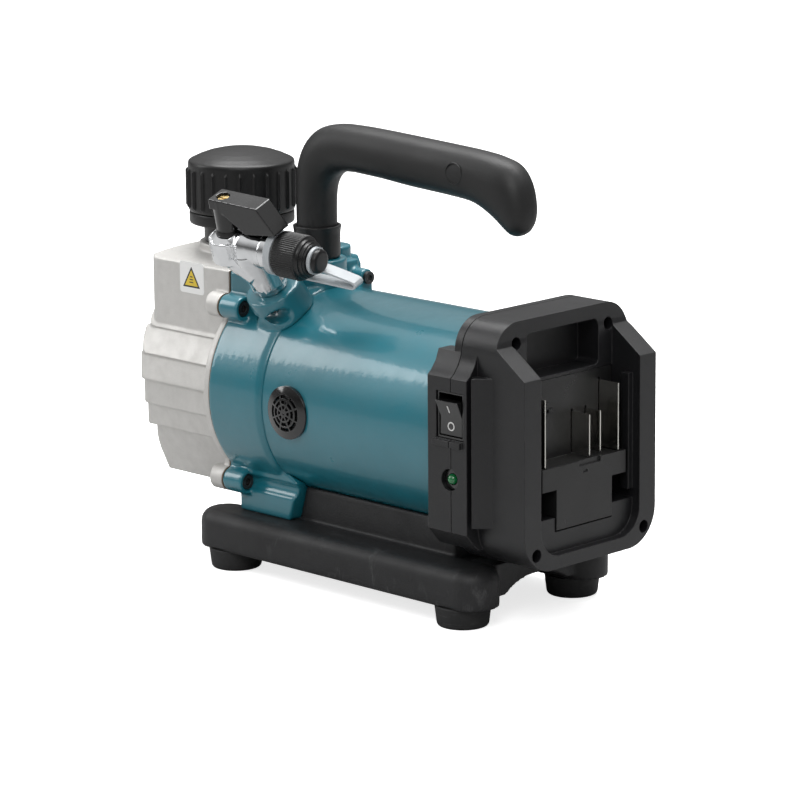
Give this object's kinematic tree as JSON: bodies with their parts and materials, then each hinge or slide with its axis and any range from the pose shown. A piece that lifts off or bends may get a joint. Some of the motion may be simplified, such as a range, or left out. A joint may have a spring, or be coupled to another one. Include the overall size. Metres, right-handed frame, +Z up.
{
  "type": "cordless vacuum pump",
  "caption": "Cordless rotary vane vacuum pump with a carrying handle, quarter-turn inlet valve, screwed exhaust cap, rocker switch and battery cradle on a rubber-footed base.",
  "frame": {"origin": "centre of the outline on the floor, under the middle of the machine", "axes": "+X along the motor axis from the oil case to the battery cradle, +Z up, -Y toward the side with the switch and inlet valve"},
  "size_m": [0.286, 0.1283, 0.2375],
  "materials": {
    "base_plastic": "scuffed",
    "foot_rubber": "matte",
    "teal_paint": "gloss",
    "cast_alloy": "bead-blasted",
    "steel": "satin",
    "chrome": "bright",
    "brass": "satin",
    "copper": "satin",
    "iron": "ground",
    "cap_plastic": "satin",
    "lever_plastic": "gloss",
    "knurl_plastic": "satin",
    "nylon_white": "translucent",
    "grip_rubber": "fine texture",
    "box_plastic": "spark-eroded texture",
    "black_gloss": "gloss",
    "black_steel": "black oxide",
    "seal_rubber": "matte",
    "gasket_board": "matte",
    "glass_clear": "clear",
    "lamp_green": "translucent",
    "filter_felt": "felt",
    "board_green": "satin",
    "composite": "satin",
    "tinned": "bright tin"
  },
  "bodies": {
    "pump": {"base_frame": "base_plastic", "rubber_feet": "foot_rubber", "base_screws": "steel", "pump_housing": "teal_paint", "housing_screws": "steel", "oil_case": "cast_alloy", "oil_case_gasket": "gasket_board", "sight_glass": "glass_clear", "sight_glass_ring": "steel", "exhaust_neck": "cap_plastic", "inlet_valve_body": "chrome", "strap_ring": "nylon_white", "inlet_strainer": "steel", "handle_core": "steel", "handle_grip": "grip_rubber", "handle_collar": "grip_rubber", "motor_housing": "teal_paint", "motor_yoke": "iron", "field_magnets": "iron", "end_bell": "cast_alloy", "carbon_brushes": "composite", "front_bearing": "steel", "rear_bearing": "steel", "shaft_seal": "seal_rubber", "pump_cylinder": "iron", "pump_end_plate": "iron", "discharge_valve": "steel", "vent_grille": "black_gloss", "battery_box_rear": "box_plastic", "battery_box_front": "box_plastic", "box_screws": "black_steel", "terminal_block": "box_plastic", "terminal_blades": "tinned", "rocker_frame": "black_gloss", "led_lens": "lamp_green", "led_holder": "black_gloss", "control_board": "board_green", "solenoid_body": "copper", "plunger_spring": "steel"},
    "rocker": {"rocker_button": "black_gloss"},
    "valve_handle": {"valve_lever": "lever_plastic", "lever_screw": "brass", "valve_stem": "brass", "valve_ball": "brass"},
    "port_plug": {"inlet_plug": "knurl_plastic", "plug_strap": "nylon_white"},
    "port_nut": {"inlet_nut": "knurl_plastic"},
    "filter_set": {"exhaust_filter": "filter_felt", "exhaust_seal": "seal_rubber"},
    "cap": {"exhaust_cap": "cap_plastic"},
    "drain_washer": {"drain_seal": "seal_rubber"},
    "drain": {"drain_plug": "steel"},
    "shaft_set": {"motor_shaft": "steel", "armature_core": "iron", "armature_windings": "copper", "commutator": "copper", "cooling_fan": "cap_plastic", "pump_rotor": "iron", "pump_vanes": "composite"},
    "plunger": {"solenoid_plunger": "steel"}
  },
  "joints": [
    {"name": "switch_rock", "type": "hinge", "parent": "pump", "child": "rocker", "pos_m": [0.1, -0.0444, 0.1115], "axis": [-1, 0, 0], "range_deg": [0, 24]},
    {"name": "valve_turn", "type": "hinge", "parent": "pump", "child": "valve_handle", "pos_m": [-0.05692, -0.04882, 0.1791], "axis": [-0.1216, 0.3154, -0.9411], "range_deg": [0, 90]},
    {"name": "plug_out", "type": "slide", "parent": "pump", "child": "port_plug", "axis": [0.9849, 0.156, -0.075], "range_m": [0, 0.0128]},
    {"name": "nut_turn", "type": "hinge", "parent": "port_plug", "child": "port_nut", "pos_m": [-0.05692, -0.04882, 0.1791], "axis": [0.9849, 0.156, -0.075], "range_deg": [0, 3600]},
    {"name": "filter_lift", "type": "slide", "parent": "pump", "child": "filter_set", "axis": [0, 0, 1], "range_m": [0, 0.0121]},
    {"name": "cap_turn", "type": "hinge", "parent": "filter_set", "child": "cap", "pos_m": [-0.1085, 0.0071, 0.183], "axis": [0, 0, 1], "range_deg": [0, 1080]},
    {"name": "washer_drop", "type": "slide", "parent": "pump", "child": "drain_washer", "axis": [0, 0, -1], "range_m": [0, 0.0081]},
    {"name": "drain_turn", "type": "hinge", "parent": "drain_washer", "child": "drain", "pos_m": [-0.112, 0.0191, 0.036], "axis": [0, 0, -1], "range_deg": [0, 2880]},
    {"name": "motor_turn", "type": "hinge", "parent": "pump", "child": "shaft_set", "pos_m": [0, 0.0071, 0.095], "axis": [1, 0, 0], "continuous": true},
    {"name": "plunger_lift", "type": "slide", "parent": "pump", "child": "plunger", "axis": [0, 0, 1], "range_m": [0, 0.003], "stiffness_N_per_m": 400, "springref_m": -0.003, "deforming": ["plunger_spring"]}
  ],
  "couplings": [
    {"joint": "plug_out", "follows": "nut_turn", "m_per_rad": 0.00020213},
    {"joint": "filter_lift", "follows": "cap_turn", "m_per_rad": 0.00063662},
    {"joint": "washer_drop", "follows": "drain_turn", "m_per_rad": 0.00015915}
  ]
}
